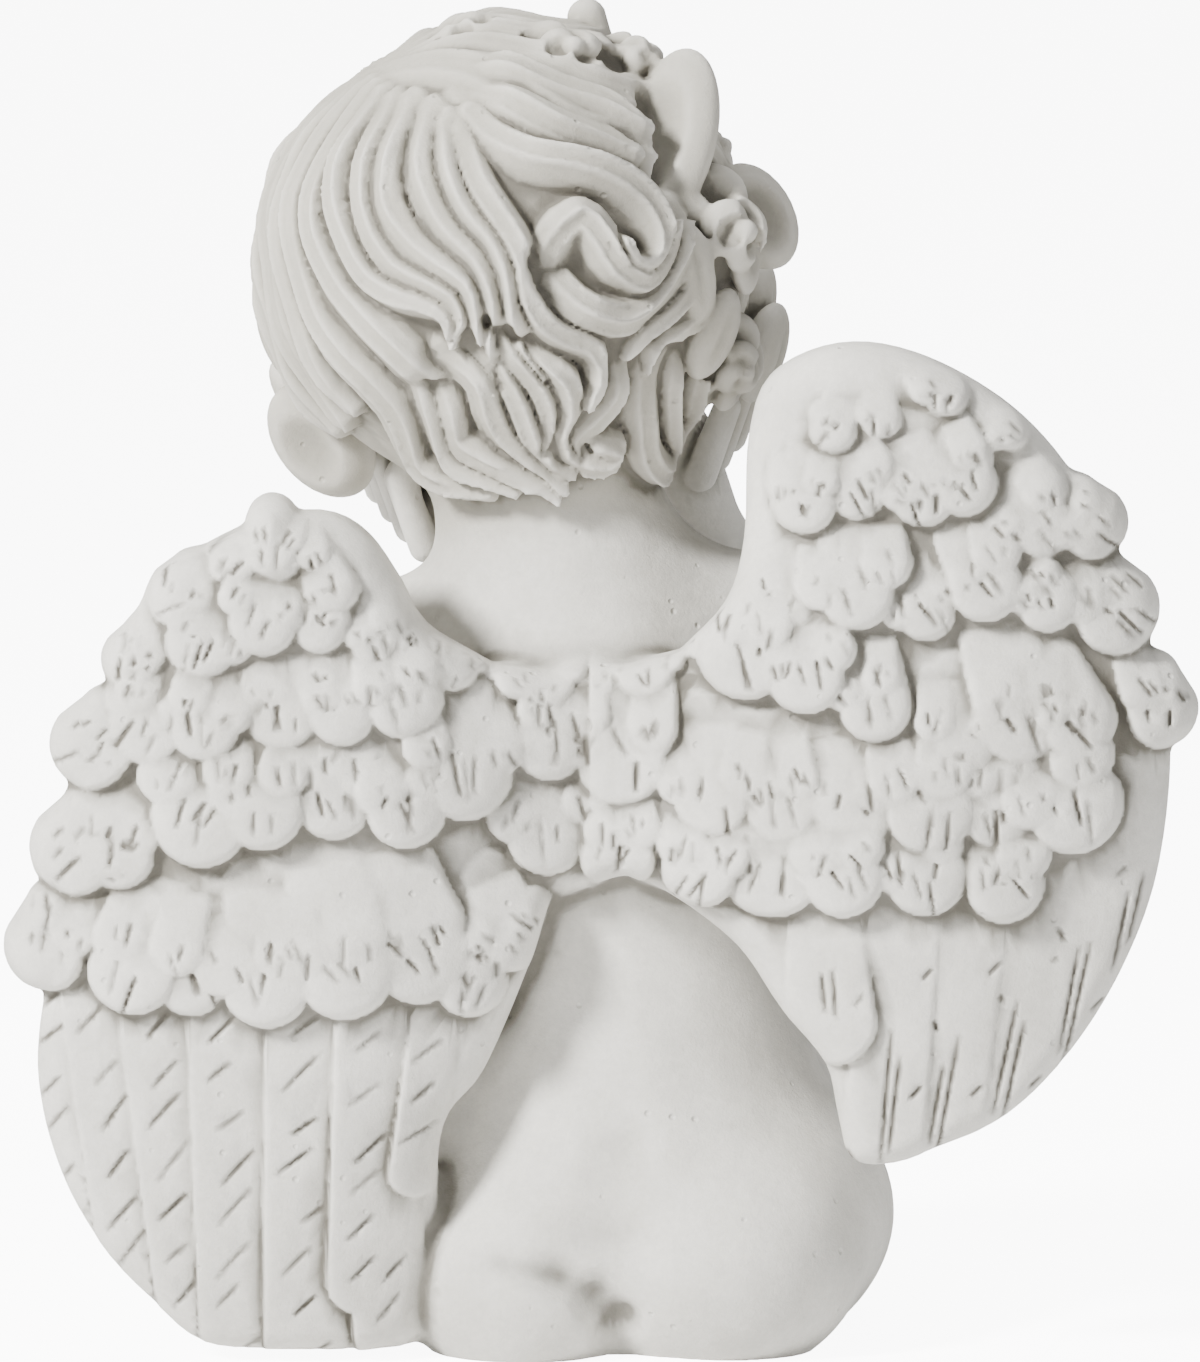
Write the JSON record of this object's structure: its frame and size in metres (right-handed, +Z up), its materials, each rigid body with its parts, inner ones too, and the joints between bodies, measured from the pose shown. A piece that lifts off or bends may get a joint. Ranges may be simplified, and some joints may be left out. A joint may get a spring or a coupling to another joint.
{
  "type": "garden statue of a seated cherub",
  "caption": "Winged cherub sitting with its chin in its hands and a garland of roses over its curls, cast in pale stone as a standing garden ornament.",
  "frame": {"origin": "on the ground, under the middle of the statue's bounding box", "axes": "+Z up, the face looks towards -Y, the wings are on the +Y side, and +X is the figure's own left"},
  "size_m": [0.2663, 0.1854, 0.3016],
  "materials": {
    "cast_stone": "matte, off-white with a light grey wash in the recesses"
  },
  "bodies": {
    "root": {"cherub": "cast_stone"}
  },
  "joints": []
}
